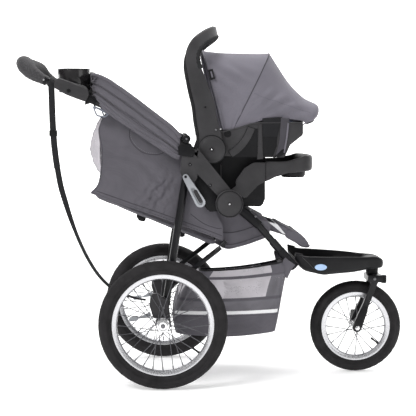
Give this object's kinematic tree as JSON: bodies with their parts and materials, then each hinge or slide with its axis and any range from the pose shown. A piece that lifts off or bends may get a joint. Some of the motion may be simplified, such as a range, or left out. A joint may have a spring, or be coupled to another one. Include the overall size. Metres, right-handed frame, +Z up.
{
  "type": "jogging stroller",
  "caption": "Three-wheeled folding jogging stroller with a docked infant carrier, spoked wheels, swivel front fork, parent tray, mesh basket and wrist tether.",
  "frame": {"origin": "on the ground below the middle of the stroller's length and width", "axes": "+X towards the front wheel, +Y towards the stroller's left side, +Z up"},
  "size_m": [1.279, 0.597, 1.1523],
  "materials": {
    "charcoal_plastic": "matte",
    "black_plastic": "matte",
    "gloss_black": "gloss",
    "black_paint": "satin",
    "grey_plastic": "satin",
    "tyre_rubber": "matte",
    "foam": "matte",
    "aluminium": "satin",
    "steel": "brushed",
    "fabric": "woven",
    "light_fabric": "woven",
    "mesh_fabric": "woven",
    "webbing": "woven",
    "pad_fabric": "woven"
  },
  "bodies": {
    "front_frame": {"front_tube_right": "black_paint", "front_tube_left": "black_paint", "hub_disc_right": "charcoal_plastic", "hub_disc_left": "charcoal_plastic", "seat_cross_bar": "black_paint", "footwell": "black_plastic", "steerer_housing": "black_plastic", "seat_bottom": "fabric", "leg_rest": "fabric", "basket": "mesh_fabric"},
    "tray": {"tray_arm_right": "charcoal_plastic", "tray_arm_left": "charcoal_plastic", "child_tray": "charcoal_plastic"},
    "handle_frame": {"handle_tube_right": "black_paint", "handle_tube_left": "black_paint", "handle_grip": "foam", "parent_tray": "charcoal_plastic", "hinge_bracket_right": "charcoal_plastic", "hinge_bracket_left": "charcoal_plastic", "canopy_side_right": "fabric", "canopy_side_left": "fabric", "canopy_top": "fabric", "side_panel_right": "fabric", "side_panel_left": "fabric", "rear_mesh": "mesh_fabric", "tether_strap": "webbing", "tether_loop": "webbing"},
    "lid": {"tray_lid": "gloss_black"},
    "bow": {"canopy_bow": "black_plastic"},
    "back_board": {"seat_back": "fabric"},
    "trigger_right": {"fold_trigger_right": "grey_plastic"},
    "trigger_left": {"fold_trigger_left": "grey_plastic"},
    "lever_right": {"lock_lever_right": "grey_plastic"},
    "lever_left": {"lock_lever_left": "grey_plastic"},
    "rear_frame": {"rear_leg_right": "black_paint", "rear_leg_left": "black_paint", "leg_latch_right": "black_plastic", "leg_latch_left": "black_plastic", "brake_housing_right": "charcoal_plastic", "brake_housing_left": "charcoal_plastic", "rear_axle": "black_paint"},
    "pedal_right": {"brake_pedal_right": "grey_plastic"},
    "pedal_left": {"brake_pedal_left": "grey_plastic"},
    "rear_wheel_right": {"rear_tyre_right": "tyre_rubber", "rear_rim_right": "aluminium"},
    "rear_wheel_left": {"rear_tyre_left": "tyre_rubber", "rear_rim_left": "aluminium"},
    "braces": {"brace_right": "black_paint", "brace_left": "black_paint"},
    "fork_body": {"fork": "black_paint", "front_axle": "steel"},
    "lock_plunger": {"swivel_lock": "black_plastic"},
    "release_lever": {"quick_release_lever": "steel"},
    "front_wheel": {"front_tyre": "tyre_rubber", "front_rim": "aluminium"},
    "carrier": {"carrier_shell": "charcoal_plastic", "carrier_pad": "pad_fabric", "carrier_canopy": "light_fabric"},
    "carry_handle": {"carrier_handle": "charcoal_plastic"},
    "hood": {"hood_bow": "light_fabric"}
  },
  "joints": [
    {"name": "fold", "type": "hinge", "parent": "front_frame", "child": "handle_frame", "pos_m": [0.0505, 0, 0.581], "axis": [0, 1, 0], "range_deg": [0, 118]},
    {"name": "rear_fold", "type": "hinge", "parent": "handle_frame", "child": "rear_frame", "pos_m": [-0.0865, 0, 0.66], "axis": [0, 1, 0], "range_deg": [-58.5, 0]},
    {"name": "brace_fold", "type": "hinge", "parent": "rear_frame", "child": "braces", "pos_m": [-0.142, 0, 0.306], "axis": [0, 1, 0], "range_deg": [0, 12]},
    {"name": "tray_fold", "type": "hinge", "parent": "front_frame", "child": "tray", "pos_m": [0.0505, 0, 0.581], "axis": [0, 1, 0], "range_deg": [0, 29]},
    {"name": "carrier_dock", "type": "slide", "parent": "front_frame", "child": "carrier", "axis": [0.2079, 0, 0.9781], "range_m": [0, 1.7]},
    {"name": "seat_recline", "type": "hinge", "parent": "handle_frame", "child": "back_board", "pos_m": [0.0335, 0, 0.443], "axis": [0, -1, 0], "range_deg": [-38, 0]},
    {"name": "canopy_bow_swing", "type": "hinge", "parent": "handle_frame", "child": "bow", "pos_m": [-0.0835, 0, 0.79], "axis": [0, -1, 0], "range_deg": [-40, 0]},
    {"name": "carrier_handle_turn", "type": "hinge", "parent": "carrier", "child": "carry_handle", "pos_m": [-0.0035, 0, 0.75], "axis": [0, 1, 0], "range_deg": [0, 48]},
    {"name": "hood_swing", "type": "hinge", "parent": "carrier", "child": "hood", "pos_m": [0.0485, 0, 0.8], "axis": [0, 1, 0], "range_deg": [0, 40], "deforming": ["carrier_canopy"]},
    {"name": "tray_lid_hinge", "type": "hinge", "parent": "handle_frame", "child": "lid", "pos_m": [-0.399, 0, 0.9775], "axis": [0, 1, 0], "range_deg": [0, 80]},
    {"name": "rear_wheel_right_spin", "type": "hinge", "parent": "rear_frame", "child": "rear_wheel_right", "pos_m": [-0.158, -0.275, 0.203], "axis": [0, 1, 0], "continuous": true},
    {"name": "rear_wheel_left_spin", "type": "hinge", "parent": "rear_frame", "child": "rear_wheel_left", "pos_m": [-0.158, 0.275, 0.203], "axis": [0, 1, 0], "continuous": true},
    {"name": "fork_swivel", "type": "hinge", "parent": "front_frame", "child": "fork_body", "pos_m": [0.548, 0, 0.312], "axis": [0, 0, 1], "continuous": true},
    {"name": "front_wheel_spin", "type": "hinge", "parent": "fork_body", "child": "front_wheel", "pos_m": [0.487, 0, 0.1525], "axis": [0, 1, 0], "continuous": true},
    {"name": "swivel_lock_pull", "type": "slide", "parent": "fork_body", "child": "lock_plunger", "axis": [0, 0, -1], "range_m": [0, 0.006]},
    {"name": "release_lever_flip", "type": "hinge", "parent": "fork_body", "child": "release_lever", "pos_m": [0.487, 0.0538, 0.1425], "axis": [-1, 0, 0], "range_deg": [0, 80]},
    {"name": "brake_pedal_right_press", "type": "hinge", "parent": "rear_frame", "child": "pedal_right", "pos_m": [-0.205, -0.2375, 0.23], "axis": [0, -1, 0], "range_deg": [0, 20]},
    {"name": "lock_lever_right_lift", "type": "hinge", "parent": "handle_frame", "child": "lever_right", "pos_m": [-0.0865, -0.2545, 0.665], "axis": [0, 1, 0], "range_deg": [0, 30]},
    {"name": "fold_trigger_right_pull", "type": "slide", "parent": "handle_frame", "child": "trigger_right", "axis": [-0.9192, 0, 0.3937], "range_m": [0, 0.014]},
    {"name": "brake_pedal_left_press", "type": "hinge", "parent": "rear_frame", "child": "pedal_left", "pos_m": [-0.205, 0.2375, 0.23], "axis": [0, -1, 0], "range_deg": [0, 20]},
    {"name": "lock_lever_left_lift", "type": "hinge", "parent": "handle_frame", "child": "lever_left", "pos_m": [-0.0865, 0.2545, 0.665], "axis": [0, 1, 0], "range_deg": [0, 30]},
    {"name": "fold_trigger_left_pull", "type": "slide", "parent": "handle_frame", "child": "trigger_left", "axis": [-0.9192, 0, 0.3937], "range_m": [0, 0.014]}
  ],
  "couplings": [
    {"joint": "rear_fold", "follows": "fold", "ratio": -0.47},
    {"joint": "brace_fold", "follows": "fold", "ratio": 0.08},
    {"joint": "tray_fold", "follows": "fold", "ratio": 0.233},
    {"joint": "carrier_dock", "follows": "fold", "m_per_rad": 0.8}
  ]
}
